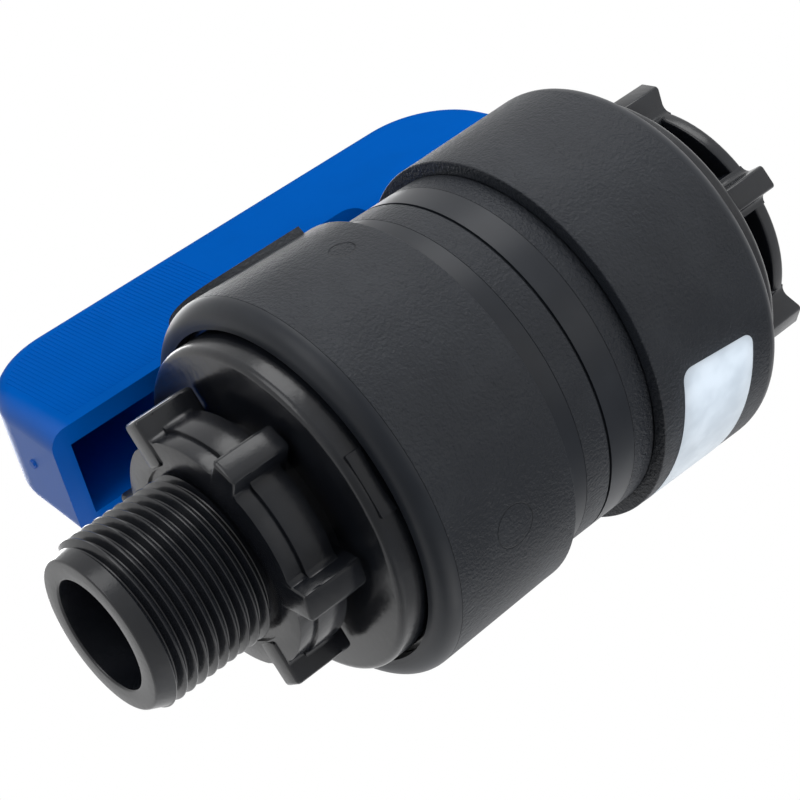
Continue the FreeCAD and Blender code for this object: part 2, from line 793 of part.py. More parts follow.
for thing in doc.Objects:
    if "Invalid" in thing.State or "Error" in thing.State:
        raise RuntimeError(f"{thing.Name} failed: {thing.State}")
for piece in parts:
    if piece.Shape.isNull() or not piece.Shape.isValid() or len(piece.Shape.Solids) != 1:
        raise RuntimeError(f"{piece.Label} is not one valid solid")

os.makedirs("parts", exist_ok=True)
for piece in parts:
    piece.Shape.exportStep(f"parts/{piece.Label}.step")
    box = piece.Shape.BoundBox
    low, high = (box.XMin, box.YMin, box.ZMin), (box.XMax, box.YMax, box.ZMax)
    place = " ".join(f"{a:.2f}..{b:.2f}" for a, b in zip(low, high))
    print(f"{piece.Label}: volume {piece.Shape.Volume:.0f}, {place}")
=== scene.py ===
import math

import bmesh
import bpy
from mathutils import Matrix, Quaternion, Vector


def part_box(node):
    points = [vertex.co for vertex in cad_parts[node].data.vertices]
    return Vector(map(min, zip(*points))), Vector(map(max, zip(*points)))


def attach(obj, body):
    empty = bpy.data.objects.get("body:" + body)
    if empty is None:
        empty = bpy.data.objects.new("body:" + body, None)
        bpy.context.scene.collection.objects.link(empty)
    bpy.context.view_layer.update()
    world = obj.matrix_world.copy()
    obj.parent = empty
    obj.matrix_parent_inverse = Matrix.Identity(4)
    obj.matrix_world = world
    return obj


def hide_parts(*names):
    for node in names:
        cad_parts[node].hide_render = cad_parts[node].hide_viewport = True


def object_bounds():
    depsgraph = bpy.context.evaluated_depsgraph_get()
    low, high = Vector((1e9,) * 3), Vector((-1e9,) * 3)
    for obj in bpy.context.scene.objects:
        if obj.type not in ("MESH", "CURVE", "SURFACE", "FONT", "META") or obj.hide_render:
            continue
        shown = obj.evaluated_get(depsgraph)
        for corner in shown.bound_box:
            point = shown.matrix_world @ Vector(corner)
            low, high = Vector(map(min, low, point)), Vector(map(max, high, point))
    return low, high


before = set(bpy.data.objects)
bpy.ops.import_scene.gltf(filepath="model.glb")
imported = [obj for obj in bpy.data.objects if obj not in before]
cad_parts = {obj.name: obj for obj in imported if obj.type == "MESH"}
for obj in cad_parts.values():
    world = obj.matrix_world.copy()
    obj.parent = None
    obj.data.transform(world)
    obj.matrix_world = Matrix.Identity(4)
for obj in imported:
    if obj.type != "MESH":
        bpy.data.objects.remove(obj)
cad_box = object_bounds()
scene = bpy.context.scene


# Camera: it stands low in front of the male thread and looks up along the valve, rolled so that
# the handle comes out behind the nuts at the upper left. The lens is a short telephoto one.
MM = 0.001
CAMERA_PLACE = Vector((-93.98, -175.96, -225.22)) * MM
CAMERA_AIM = Vector((61.26, 1.81, 6.90)) * MM
CAMERA_ROLL = math.radians(-66.46)
CAMERA_LENS = 99.97
CAMERA_SENSOR = 36.0

camera_data = bpy.data.cameras.new("camera")
camera_data.lens = CAMERA_LENS
camera_data.sensor_width = CAMERA_SENSOR
camera_data.clip_start = 0.01
camera_data.clip_end = 10.0
camera = bpy.data.objects.new("camera", camera_data)
scene.collection.objects.link(camera)
camera.rotation_mode = "QUATERNION"
camera.location = CAMERA_PLACE
sight = (CAMERA_AIM - CAMERA_PLACE).to_track_quat("-Z", "Y")
camera.rotation_quaternion = sight @ Quaternion((0, 0, 1), CAMERA_ROLL)
scene.camera = camera
scene.view_settings.view_transform = "Standard"


# Valve body: black polypropylene. On each half of the middle band a smooth strip lies next to a
# grained one, with a fine step between them, and the halves meet in a thin groove.
BLACK = (0.0125, 0.0150, 0.0200)
BLACK_WORN = (0.0175, 0.0205, 0.0260)
PLASTIC_SPECULAR = 0.24
CLOUD_SIZE = 9.0
GRAIN_SIZE = 0.52
GRAIN_DEPTH = 0.24
BROAD_GRAIN_SIZE = GRAIN_SIZE * 2.6
BROAD_GRAIN_DEPTH = GRAIN_DEPTH * 0.4
BAND_CENTRE = 69.5
BAND_STEP = 4.95
BAND_STEP_RISE = 0.05
BAND_STEP_BLEND = 0.12
BAND_GROOVE_BLEND = 0.1


class Wire:
    """A shader socket that Python's operators work on, so that a finish reads as plain sums."""

    def __init__(self, tree, socket=None):
        self.tree = tree
        self.socket = socket

    def node(self, kind, settings, inputs, output=0):
        made = self.tree.nodes.new(kind)
        for name, value in settings.items():
            setattr(made, name, value)
        for key, value in inputs.items():
            if isinstance(value, Wire):
                self.tree.links.new(value.socket, made.inputs[key])
            else:
                made.inputs[key].default_value = value
        return Wire(self.tree, made.outputs[output])

    def maths(self, operation, *values):
        return self.node("ShaderNodeMath", {"operation": operation}, dict(enumerate(values)))

    def __add__(self, other):
        return self.maths("ADD", self, other)

    def __sub__(self, other):
        return self.maths("SUBTRACT", self, other)

    def __rsub__(self, other):
        return self.maths("SUBTRACT", other, self)

    def __mul__(self, other):
        return self.maths("MULTIPLY", self, other)

    __radd__ = __add__
    __rmul__ = __mul__

    def ramp(self, low, high):
        """0 below low, 1 above high, and smooth between; low may be the larger."""
        values = {"Value": self, "From Min": low, "From Max": high}
        return self.node("ShaderNodeMapRange", {"interpolation_type": "SMOOTHSTEP"}, values)


class Finish:
    """A material with a Principled shader, and the object's coordinates in millimetres."""

    SOCKETS = {
        "colour": "Base Color",
        "roughness": "Roughness",
        "normal": "Normal",
        "metallic": "Metallic",
        "specular": "Specular IOR Level",
        "coat": "Coat Weight",
        "coat_roughness": "Coat Roughness",
        "glow": "Emission Color",
        "glow_strength": "Emission Strength",
    }

    def __init__(self, name):
        self.material = bpy.data.materials.new(name)
        self.material.use_nodes = True
        tree = self.material.node_tree
        self.shader = tree.nodes["Principled BSDF"]
        self.wire = Wire(tree)
        metres = self.wire.node("ShaderNodeTexCoord", {}, {}, "Object")
        scaling = {"operation": "SCALE"}
        self.place = self.wire.node("ShaderNodeVectorMath", scaling, {0: metres, "Scale": 1 / MM})
        self.x = self.wire.node("ShaderNodeSeparateXYZ", {}, {"Vector": self.place}, "X")

    def noise(self, size_mm, detail=2.0, roughness=0.5):
        """Even noise whose lumps are about this many millimetres apart."""
        values = {"Vector": self.place, "Scale": 1 / size_mm}
        values.update({"Detail": detail, "Roughness": roughness})
        return self.wire.node("ShaderNodeTexNoise", {}, values)

    def distance(self, point_mm):
        """The distance in millimetres from a point on the object."""
        values = {0: self.place, 1: point_mm}
        return self.wire.node("ShaderNodeVectorMath", {"operation": "DISTANCE"}, values, "Value")

    def blend(self, low, high, share):
        """One colour where the share is 0, the other where it is 1."""
        values = {0: share, 6: (*low, 1), 7: (*high, 1)}
        return self.wire.node("ShaderNodeMix", {"data_type": "RGBA"}, values, 2)

    def bump(self, height_mm):
        """Relief of a height in millimetres."""
        values = {"Height": height_mm, "Distance": MM, "Strength": 1.0}
        return self.wire.node("ShaderNodeBump", {}, values)

    def use(self, **sockets):
        """Sets the shader's sockets to values or wires, and gives the material."""
        for key, value in {"specular": PLASTIC_SPECULAR, **sockets}.items():
            target = self.shader.inputs[self.SOCKETS[key]]
            if isinstance(value, Wire):
                self.wire.tree.links.new(value.socket, target)
            else:
                target.default_value = value
        return self.material


def paint(piece, material):
    piece.data.materials.clear()
    piece.data.materials.append(material)


def grain_of(finish):
    """Leather-like grain: fine lumps with a few broader ones among them, in millimetres."""
    fine, broad = finish.noise(GRAIN_SIZE, 2.0, 0.6), finish.noise(BROAD_GRAIN_SIZE, 1.0)
    return fine * GRAIN_DEPTH + broad * BROAD_GRAIN_DEPTH


def cloud_of(finish, low, high):
    """The slow, faint change of shade over a large moulding."""
    return finish.blend(low, high, finish.noise(CLOUD_SIZE, 3.0).ramp(0.4, 0.75))


finish = Finish("black_plastic_body")
left_step, right_step = BAND_CENTRE - BAND_STEP, BAND_CENTRE + BAND_STEP
left_grain = finish.x.ramp(left_step, left_step + BAND_STEP_BLEND)
left_grain = left_grain * finish.x.ramp(BAND_CENTRE, BAND_CENTRE - BAND_GROOVE_BLEND)
grained = left_grain + finish.x.ramp(right_step, right_step + BAND_STEP_BLEND)
body_black = finish.use(
    colour=cloud_of(finish, BLACK, BLACK_WORN),
    roughness=0.38 + grained * 0.1,
    normal=finish.bump(grained * grain_of(finish) + grained * BAND_STEP_RISE),
)
paint(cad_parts["valve_body"], body_black)


# Union nuts: the same black plastic, grained up to a fine line near the lip, where the surface
# turns smooth. The left one shows a round ejector mark and a small sunk mark. A turned ring gives
# each nut the crisp corner that its mould leaves at the inner end.
NUT_LIP_LINE = 2.8
NUT_LINE_BLEND = 0.1
NUT_LINE_RISE = 0.04
NUT_OUTSIDE = 30.64
NUT_BORE = 28.6
NUT_CORNER_PROUD = 0.03
NUT_CORNER_LENGTH = 2.4
NUT_CORNER_ROUND = 0.22
NUT_STEPS = 144
MARK_EDGE = 0.15
EJECTOR_PLACE = (48.7, 1.6, -30.76)
EJECTOR_RADIUS = 3.3
EJECTOR_DEPTH = 0.16
SUNK_PLACE = (53.8, -30.6, -0.2)
SUNK_RADIUS = 1.9
SUNK_DEPTH = 0.5
SUNK_ROUGHNESS = 0.6


def bevel(mesh, geom, width, segments, affect="EDGES", clamp=False):
    """Rounds edges or corners by a width in the mesh's own unit."""
    return bmesh.ops.bevel(
        mesh,
        geom=geom,
        offset=width,
        offset_type="OFFSET",
        segments=segments,
        profile=0.5,
        affect=affect,
        material=-1,
        clamp_overlap=clamp,
    )


def new_piece(name, mesh, body, material, sharp_angle=32):
    """Links a finished bmesh as an object at the origin that rides on a body."""
    data = bpy.data.meshes.new(name)
    bmesh.ops.recalc_face_normals(mesh, faces=mesh.faces)
    mesh.to_mesh(data)
    mesh.free()
    data.shade_smooth()
    data.set_sharp_from_angle(angle=math.radians(sharp_angle))
    piece = bpy.data.objects.new(name, data)
    scene.collection.objects.link(piece)
    paint(piece, material)
    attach(piece, body)
    return piece


def nut_finish(name, inner_end, length, way, marked):
    finish = Finish(name)
    from_end = (finish.x - inner_end) * way
    line = length - NUT_LIP_LINE
    grained = from_end.ramp(line, line - NUT_LINE_BLEND)
    relief = grained * grain_of(finish) + grained * NUT_LINE_RISE
    colour = cloud_of(finish, BLACK, BLACK_WORN)
    if marked:
        away = finish.distance(EJECTOR_PLACE)
        ring = away.ramp(EJECTOR_RADIUS - MARK_EDGE, EJECTOR_RADIUS)
        ring = ring * away.ramp(EJECTOR_RADIUS + MARK_EDGE, EJECTOR_RADIUS)
        away = finish.distance(SUNK_PLACE)
        sunk = away.ramp(SUNK_RADIUS + MARK_EDGE, SUNK_RADIUS - MARK_EDGE)
        depth = SUNK_DEPTH - finish.noise(0.5) * SUNK_ROUGHNESS
        relief = relief * (1 - sunk) - ring * EJECTOR_DEPTH - sunk * depth
    roughness = 0.4 + grained * 0.08
    return finish.use(colour=colour, roughness=roughness, normal=finish.bump(relief))


for side, way, marked in (("left", -1, True), ("right", 1, False)):
    low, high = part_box("union_nut_" + side)
    inner_end = (high.x if way < 0 else low.x) / MM
    length = (high.x - low.x) / MM
    nut_black = nut_finish("nut_black_" + side, inner_end, length, way, marked)
    paint(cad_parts["union_nut_" + side], nut_black)

    mesh = bmesh.new()
    face = inner_end - way * NUT_CORNER_PROUD
    back = inner_end + way * NUT_CORNER_LENGTH
    outline = [(face, NUT_BORE), (face, NUT_OUTSIDE), (back, NUT_OUTSIDE), (back, NUT_BORE)]
    corners = [mesh.verts.new(Vector((x, 0, radius)) * MM) for x, radius in outline]
    mesh.faces.new(corners)
    bevel(mesh, [corners[1]], NUT_CORNER_ROUND * MM, 3, "VERTICES")
    section = mesh.faces[:]
    bmesh.ops.spin(
        mesh,
        geom=mesh.edges[:],
        cent=(0, 0, 0),
        axis=(1, 0, 0),
        angle=math.tau,
        steps=NUT_STEPS,
        use_merge=True,
        use_duplicate=False,
    )
    bmesh.ops.delete(mesh, geom=section, context="FACES_ONLY")
    new_piece("nut_corner_" + side, mesh, side + "_nut", nut_black)


# Male tailpiece: glossier black plastic, turned here about the flow axis from rings of points,
# with its pipe thread run on as a real helix. Behind the thread stand a stepped collar and six
# wrench lugs that grow out of it, and the flange shows the scar of the mould's gate.
TAILPIECE_BLACK = (0.0060, 0.0070, 0.0095)
TAILPIECE_WORN = (0.0100, 0.0115, 0.0150)
TAILPIECE_SPECULAR = 0.42
THREAD_PITCH = 1.814
THREAD_HEIGHT = 1.16
THREAD_STEPS = 96
THREAD_PROFILE = ((0, 0), (0.09, 0.06), (0.41, 0.94), (0.5, 1), (0.59, 0.94), (0.91, 0.06), (1, 0))
BORE = 8.75
CREST = 13.22
MALE_FACE = 11.93
THREAD_START = 2.3
THREAD_END = 19.7
THREAD_FADE = 0.4
COLLAR_FRONT = 20.0
COLLAR_STEP = 22.9
COLLAR_BACK = 28.0
COLLAR_WEB = 0.8
COLLAR_RADIUS = 18.1
COLLAR_STEP_RADIUS = 18.6
COLLAR_ROUND = 0.35
TUBE_RADIUS = 15.2
FLANGE_RADIUS = 26.5
FLANGE_FRONT = 30.8
FLANGE_ROUND = 1.1
SHOULDER_FRONT = 37.0
SHOULDER_RADIUS = 28.3
BODY_END = 39.5
SPIGOT_RADIUS = 21.9
SPIGOT_END = 44.5
LUG_COUNT = 6
LUG_WIDTH = 4.4
LUG_DRAFT = 1.08
LUG_ROUND = 0.65
MALE_LUG_FOOT = TUBE_RADIUS - 1
MALE_LUG_TIP = 21.5
MALE_LUG_END = 29.8
CORNER_ANGLE = 0.9
SCAR_SIZE = (2.6, 0.9, 9.6)
SCAR_ROUND = 0.12
SCAR_X = 33.4
SCAR_FLAT = 26.72
SCAR_ANGLE = math.radians(241.0)


def thread_wall(start, end, low, high):
    """A helical thread between two places on the flow axis, cut flat at both."""
    mesh = bmesh.new()
    turns = math.ceil((end - start) / THREAD_PITCH) + 2
    first = start - THREAD_PITCH
    corners = [
        mesh.verts.new(Vector((first + along * THREAD_PITCH, 0, low + up * (high - low))) * MM)
        for along, up in THREAD_PROFILE
    ]
    edges = [mesh.edges.new(pair) for pair in zip(corners, corners[1:])]
    bmesh.ops.spin(
        mesh,
        geom=corners + edges,
        cent=(0, 0, 0),
        axis=(1, 0, 0),
        dvec=(THREAD_PITCH * MM / THREAD_STEPS, 0, 0),
        angle=math.tau * turns,
        steps=THREAD_STEPS * turns,
        use_duplicate=False,
    )
    bmesh.ops.remove_doubles(mesh, verts=mesh.verts, dist=1e-6)
    loops = []
    for place, side in ((start, -1), (end, 1)):
        cut = bmesh.ops.bisect_plane(
            mesh,
            geom=mesh.verts[:] + mesh.edges[:] + mesh.faces[:],
            dist=1e-7,
            plane_co=(place * MM, 0, 0),
            plane_no=(side, 0, 0),
            clear_outer=True,
        )
        loops.append([e for e in cut["geom_cut"] if isinstance(e, bmesh.types.BMEdge)])
    return mesh, loops


def carry_on(mesh, loop, rings):
    """Extrudes a loop from ring to ring, each a place on the axis and a radius."""
    for place, radius in rings:
        grown = bmesh.ops.extrude_edge_only(mesh, edges=loop)["geom"]
        loop = [e for e in grown if isinstance(e, bmesh.types.BMEdge) and e.is_boundary]
        for vert in (v for v in grown if isinstance(v, bmesh.types.BMVert)):
            around = Vector((0, vert.co.y, vert.co.z)).normalized() * radius * MM
            vert.co = around + Vector((place * MM, 0, 0))
    return loop


def soften(mesh, edges, width, segments=3):
    """Rounds edges by a width in millimetres, or by less where there is no room for it."""
    return bevel(mesh, edges, width * MM, segments, clamp=True)


def round_rings(mesh, rings):
    """Rounds whole ring edges; each is a place, a radius and the rounding's width."""
    for place, radius, width in rings:
        found = []
        for edge in mesh.edges:
            at_place = all(abs(v.co.x / MM - place) < 0.01 for v in edge.verts)
            at_radius = all(abs(v.co.yz.length / MM - radius) < 0.05 for v in edge.verts)
            if at_place and at_radius:
                found.append(edge)
        soften(mesh, found, width, 4)


def draw_out(mesh, length):
    """Extrudes a flat outline along the flow axis."""
    grown = bmesh.ops.extrude_face_region(mesh, geom=mesh.faces[:])["geom"]
    moved = [v for v in grown if isinstance(v, bmesh.types.BMVert)]
    bmesh.ops.translate(mesh, verts=moved, vec=(length * MM, 0, 0))
    bmesh.ops.recalc_face_normals(mesh, faces=mesh.faces)


def set_round(mesh):
    """Repeats what stands for one lug at the places of the other lugs."""
    bmesh.ops.spin(
        mesh,
        geom=mesh.verts[:] + mesh.edges[:] + mesh.faces[:],
        cent=(0, 0, 0),
        axis=(1, 0, 0),
        angle=math.tau * (LUG_COUNT - 1) / LUG_COUNT,
        steps=LUG_COUNT - 1,
        use_duplicate=True,
    )


def put_in(mesh, part):
    """Adds a finished part to the piece's mesh."""
    data = bpy.data.meshes.new("part")
    part.to_mesh(data)
    part.free()
    mesh.from_mesh(data)
    bpy.data.meshes.remove(data)


def add_lugs(mesh, start, end, foot, tip):
    """Six wrench lugs with a little draft and softly rounded edges."""
    for i in range(LUG_COUNT):
        made = bmesh.ops.create_cube(mesh, size=MM)["verts"]
        for vert in made:
            draft = LUG_DRAFT if vert.co.z < 0 else 1.0
            vert.co.x *= end - start
            vert.co.y *= LUG_WIDTH * draft
            vert.co.z *= tip - foot
        middle = Vector(((start + end) / 2, 0, (foot + tip) / 2)) * MM
        bmesh.ops.translate(mesh, verts=made, vec=middle)
        edges = {e for v in made for e in v.link_edges}
        faces = soften(mesh, list(edges), LUG_ROUND)["faces"]
        verts = list({v for f in faces for v in f.verts})
        turn = Matrix.Rotation(math.tau * i / LUG_COUNT, 3, "X")
        bmesh.ops.rotate(mesh, verts=verts, cent=(0, 0, 0), matrix=turn)


def add_lugged_ring(mesh, start, end, inner, outer, tip, web):
    """A ring whose outside sweeps up into the six lugs in hollow curves."""
    pitch = math.tau / LUG_COUNT
    ring = bmesh.new()
    half = LUG_WIDTH / 2
    foot = math.sqrt(outer**2 - half**2)
    profile = [(half, foot), (half, tip), (-half, tip), (-half, foot)]
    for way in (1, -1):
        for radius in (outer, inner)[::way]:
            corner = (-way * radius * math.sin(pitch / 2), radius * math.cos(pitch / 2))
            profile.append(corner)
    verts = [ring.verts.new((start * MM, y * MM, z * MM)) for y, z in profile]
    ring.faces.new(verts)
    bevel(ring, [verts[0], verts[3]], web * MM, 6, "VERTICES")
    rim = [e for e in ring.edges if all(abs(v.co.z) < foot * MM * 1.001 for v in e.verts)]
    bmesh.ops.subdivide_edges(ring, edges=rim, cuts=5)
    for vert in ring.verts:
        radius = vert.co.yz.length / MM
        angle = math.atan2(vert.co.y, vert.co.z)
        if radius < (inner + outer) / 2:
            want = inner
        elif abs(angle) > math.asin((half + web) / outer):
            want = outer
        else:
            continue
        vert.co.y, vert.co.z = want * MM * math.sin(angle), want * MM * math.cos(angle)
    set_round(ring)
    bmesh.ops.remove_doubles(ring, verts=ring.verts, dist=1e-5)
    draw_out(ring, end - start)
    edges = [e for e in ring.edges if len(e.link_faces) == 2 and e.calc_face_angle() > CORNER_ANGLE]
    edges = [e for e in edges if all(v.co.yz.length / MM > inner + 0.5 for v in e.verts)]
    soften(ring, edges, COLLAR_ROUND, 2)
    put_in(mesh, ring)


mesh, (front_loop, back_loop) = thread_wall(THREAD_START, THREAD_END, CREST - THREAD_HEIGHT, CREST)
last = carry_on(
    mesh,
    back_loop,
    [
        (COLLAR_FRONT + THREAD_FADE, CREST - THREAD_HEIGHT),
        (COLLAR_FRONT + THREAD_FADE, TUBE_RADIUS),
        (FLANGE_FRONT, TUBE_RADIUS),
        (FLANGE_FRONT, FLANGE_RADIUS),
        (SHOULDER_FRONT, FLANGE_RADIUS),
        (SHOULDER_FRONT, SHOULDER_RADIUS),
        (BODY_END, SHOULDER_RADIUS),
        (BODY_END, SPIGOT_RADIUS),
        (SPIGOT_END, SPIGOT_RADIUS),
        (SPIGOT_END, BORE),
        (0.0, BORE),
        (0.0, MALE_FACE),
    ],
)
bmesh.ops.bridge_loops(mesh, edges=last + front_loop)
round_rings(
    mesh,
    [
        (FLANGE_FRONT, FLANGE_RADIUS, FLANGE_ROUND),
        (0.0, BORE, 0.35),
        (0.0, MALE_FACE, 0.3),
    ],
)
for start, end, radius in (
    (COLLAR_FRONT, COLLAR_STEP, COLLAR_RADIUS),
    (COLLAR_STEP - 0.1, COLLAR_BACK, COLLAR_STEP_RADIUS),
):
    add_lugged_ring(mesh, start, end, MALE_LUG_FOOT, radius, MALE_LUG_TIP - 0.2, COLLAR_WEB)
add_lugs(mesh, COLLAR_FRONT - 0.3, MALE_LUG_END, MALE_LUG_FOOT, MALE_LUG_TIP)

pad = bmesh.ops.create_cube(mesh, size=MM)["verts"]
bmesh.ops.scale(mesh, verts=pad, vec=SCAR_SIZE)
edges = {e for v in pad for e in v.link_edges}
faces = soften(mesh, list(edges), SCAR_ROUND, 2)["faces"]
pad = list({v for f in faces for v in f.verts})
bmesh.ops.translate(mesh, verts=pad, vec=Vector((SCAR_X, SCAR_FLAT - SCAR_SIZE[1] / 2, 0)) * MM)
turn = Matrix.Rotation(SCAR_ANGLE, 3, "X")
bmesh.ops.rotate(mesh, verts=pad, cent=(0, 0, 0), matrix=turn)

finish = Finish("black_plastic_tailpiece")
fine = finish.noise(1.1, 3.0)
tailpiece_black = finish.use(
    colour=cloud_of(finish, TAILPIECE_BLACK, TAILPIECE_WORN),
    roughness=0.17 + fine * 0.1,
    normal=finish.bump(fine * 0.03),
    specular=TAILPIECE_SPECULAR,
)
male = new_piece("male_tailpiece", mesh, "housing", tailpiece_black)
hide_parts("male_connector")


# Female tailpiece: the same glossy plastic, with a pipe thread inside its socket. Six lugs, each
# on a broader foot, run from the flange to a thin ring that stands round the socket's mouth.
SOCKET_END = 117.4
SOCKET_DEPTH = 17.0
SOCKET_CREST = 12.06
SOCKET_BORE = 10.0
SOCKET_TUBE = 16.0
SOCKET_RELIEF = 0.4
RING_THICKNESS = 2.4
RING_RADIUS = 20.4
FEMALE_FLANGE = 108.2
FEMALE_SHOULDER = 102.0
FEMALE_BODY_END = 99.5
FEMALE_SPIGOT_END = 93.1
FEMALE_LUG = [(1.9, 24.3), (2.05, 20.3), (3.3, 20.15), (4.0, 15.0)]
FEMALE_LUG_CORNERS = {0: 0.6, 1: 1.15, 6: 1.15, 7: 0.6}
FEMALE_LUG_ROUND = 0.45
FEMALE_LUG_ROUND_FROM = 17.5
FEMALE_TURN = math.radians(25.6)

socket_floor = SOCKET_END - SOCKET_DEPTH
mesh, (inner_loop, mouth_loop) = thread_wall(
    socket_floor + 1.5, SOCKET_END - 1.3, SOCKET_CREST + THREAD_HEIGHT, SOCKET_CREST
)
last = carry_on(
    mesh,
    mouth_loop,
    [
        (SOCKET_END, SOCKET_CREST + THREAD_HEIGHT + SOCKET_RELIEF),
        (SOCKET_END, RING_RADIUS),
        (SOCKET_END - RING_THICKNESS, RING_RADIUS),
        (SOCKET_END - RING_THICKNESS, SOCKET_TUBE),
        (FEMALE_FLANGE, SOCKET_TUBE),
        (FEMALE_FLANGE, FLANGE_RADIUS),
        (FEMALE_SHOULDER, FLANGE_RADIUS),
        (FEMALE_SHOULDER, SHOULDER_RADIUS),
        (FEMALE_BODY_END, SHOULDER_RADIUS),
        (FEMALE_BODY_END, SPIGOT_RADIUS),
        (FEMALE_SPIGOT_END, SPIGOT_RADIUS),
        (FEMALE_SPIGOT_END, SOCKET_BORE),
        (socket_floor, SOCKET_BORE),
        (socket_floor, SOCKET_CREST),
    ],
)
bmesh.ops.bridge_loops(mesh, edges=last + inner_loop)
round_rings(
    mesh,
    [
        (SOCKET_END, RING_RADIUS, 0.6),
        (SOCKET_END - RING_THICKNESS, RING_RADIUS, 0.5),
        (FEMALE_FLANGE, FLANGE_RADIUS, FLANGE_ROUND),
    ],
)

lugs = bmesh.new()
profile = FEMALE_LUG + [(-y, z) for y, z in reversed(FEMALE_LUG)]
lug_front, lug_end = FEMALE_FLANGE - 0.6, SOCKET_END - 0.05
corners = [lugs.verts.new(Vector((lug_front, y, z)) * MM) for y, z in profile]
lugs.faces.new(corners)
for i, width in FEMALE_LUG_CORNERS.items():
    bevel(lugs, [corners[i]], width * MM, 5, "VERTICES")
draw_out(lugs, lug_end - lug_front)
edges = [e for e in lugs.edges if e.calc_face_angle() > CORNER_ANGLE]
edges = [e for e in edges if all(v.co.z > FEMALE_LUG_ROUND_FROM * MM for v in e.verts)]
soften(lugs, edges, FEMALE_LUG_ROUND)
turn = Matrix.Rotation(FEMALE_TURN, 3, "X")
bmesh.ops.rotate(lugs, verts=lugs.verts, cent=(0, 0, 0), matrix=turn)
set_round(lugs)
put_in(mesh, lugs)
female = new_piece("female_tailpiece", mesh, "housing", tailpiece_black)
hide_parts("female_connector")


# Handle: a bright blue moulded bar, nearly smooth, with a slight gloss on the end over the male
# thread. Fine grip ribs run up one half of each side wall, and they end above the arch over the
# neck. The mould's gate leaves a small dot on the end wall.
BLUE = (0.0, 0.105, 0.50)
BLUE_DEEP = (0.0, 0.100, 0.475)
GLOSS_FADE = (22.0, 19.0)
RIB_COUNT = 48
RIB_PITCH = 0.78
RIB_WIDTH = 0.46
RIB_RISE = 0.07
RIB_FOOT = 35.4
RIB_TOP = 57.6
RIB_FIRST = 23.0
ARCH_START = 53.2
ARCH_TOP = 42.2
END_ROUND = 15.1
END_LEAN = 0.085
STEM_X = 69.5
GATE_PLACE = (18.25, -0.5, 43.0)
GATE_RADIUS = 0.95
GATE_LENGTH = 0.7

finish = Finish("blue_plastic_handle")
fine = finish.noise(2.2, 3.0)
handle_blue = finish.use(
    colour=cloud_of(finish, BLUE, BLUE_DEEP),
    roughness=0.42 + fine * 0.08,
    normal=finish.bump(fine * 0.04),
    specular=0.0,
    coat=0.03 + finish.x.ramp(*GLOSS_FADE) * 0.45,
    coat_roughness=0.3,
)
paint(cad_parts["handle"], handle_blue)

low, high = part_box("handle")
side_wall = high.y / MM
mesh = bmesh.new()
for i in range(RIB_COUNT):
    made = bmesh.ops.create_cube(mesh, size=1.0)["verts"]
    place = RIB_FIRST + i * RIB_PITCH
    from_end = place - (low.x / MM + END_LEAN * (RIB_TOP - RIB_FOOT))
    short = max(0.0, END_ROUND - from_end)
    rib_top = RIB_TOP - (END_ROUND - math.sqrt(max(END_ROUND**2 - short**2, 0.0)))
    rib_foot = RIB_FOOT if place < ARCH_START else ARCH_TOP
    bmesh.ops.scale(mesh, verts=made, vec=(RIB_WIDTH, 2 * RIB_RISE, rib_top - rib_foot))
    middle = (place, -side_wall, (rib_foot + rib_top) / 2)
    bmesh.ops.translate(mesh, verts=made, vec=middle)
    edges = {e for v in made for e in v.link_edges}
    outer = [e for e in edges if all(v.co.y < -side_wall for v in e.verts)]
    bevel(mesh, outer, RIB_RISE * 0.9, 2)
ribs = mesh.verts[:] + mesh.edges[:] + mesh.faces[:]
copied = bmesh.ops.duplicate(mesh, geom=ribs)["geom"]
verts = [v for v in copied if isinstance(v, bmesh.types.BMVert)]
half_turn = Matrix.Rotation(math.pi, 3, "Z")
bmesh.ops.rotate(mesh, verts=verts, cent=(STEM_X, 0, 0), matrix=half_turn)
bmesh.ops.create_cone(
    mesh,
    cap_ends=True,
    segments=24,
    radius1=GATE_RADIUS * 0.7,
    radius2=GATE_RADIUS,
    depth=GATE_LENGTH,
    matrix=Matrix.Translation(GATE_PLACE) @ Matrix.Rotation(math.pi / 2, 4, "Y"),
)
bmesh.ops.scale(mesh, verts=mesh.verts[:], vec=(MM, MM, MM))
new_piece("handle_ribs", mesh, "lever", handle_blue)


# Label: a blank white film stuck round the right nut, a little askew, with rounded corners. It is
# laid flat, cut into strips and then bent round the nut, which is a little wider at its lip.
LABEL_CENTRE_X = 89.2
LABEL_ANGLE = math.radians(295.0)
LABEL_WIDTH = 14.4
LABEL_LENGTH = 30.0
LABEL_TILT = math.radians(6.0)
LABEL_CORNER = 1.8
LABEL_THICKNESS = 0.05
LABEL_SUNK = 0.05
LABEL_STRIPS = 28
LABEL_STRIP_SPREAD = 1.06
LABEL_WHITE = (0.62, 0.67, 0.72)
LABEL_SHADED = (0.50, 0.55, 0.60)
NUT_INNER_RADIUS = 30.6
NUT_LIP_RADIUS = 31.1

mesh = bmesh.new()
corners = bmesh.ops.create_grid(mesh, x_segments=1, y_segments=1, size=0.5)["verts"]
bmesh.ops.scale(mesh, verts=corners, vec=(LABEL_WIDTH, LABEL_LENGTH, 1))
bevel(mesh, mesh.verts[:], LABEL_CORNER, 6, "VERTICES")
turn = Matrix.Rotation(LABEL_TILT, 3, "Z")
bmesh.ops.rotate(mesh, verts=mesh.verts, cent=(0, 0, 0), matrix=turn)
for i in range(1, LABEL_STRIPS):
    bmesh.ops.bisect_plane(
        mesh,
        geom=mesh.verts[:] + mesh.edges[:] + mesh.faces[:],
        plane_co=(0, LABEL_LENGTH * (i / LABEL_STRIPS - 0.5) * LABEL_STRIP_SPREAD, 0),
        plane_no=(0, 1, 0),
    )
outside = bmesh.ops.extrude_face_region(mesh, geom=mesh.faces[:])["geom"]
lifted = {v for v in outside if isinstance(v, bmesh.types.BMVert)}
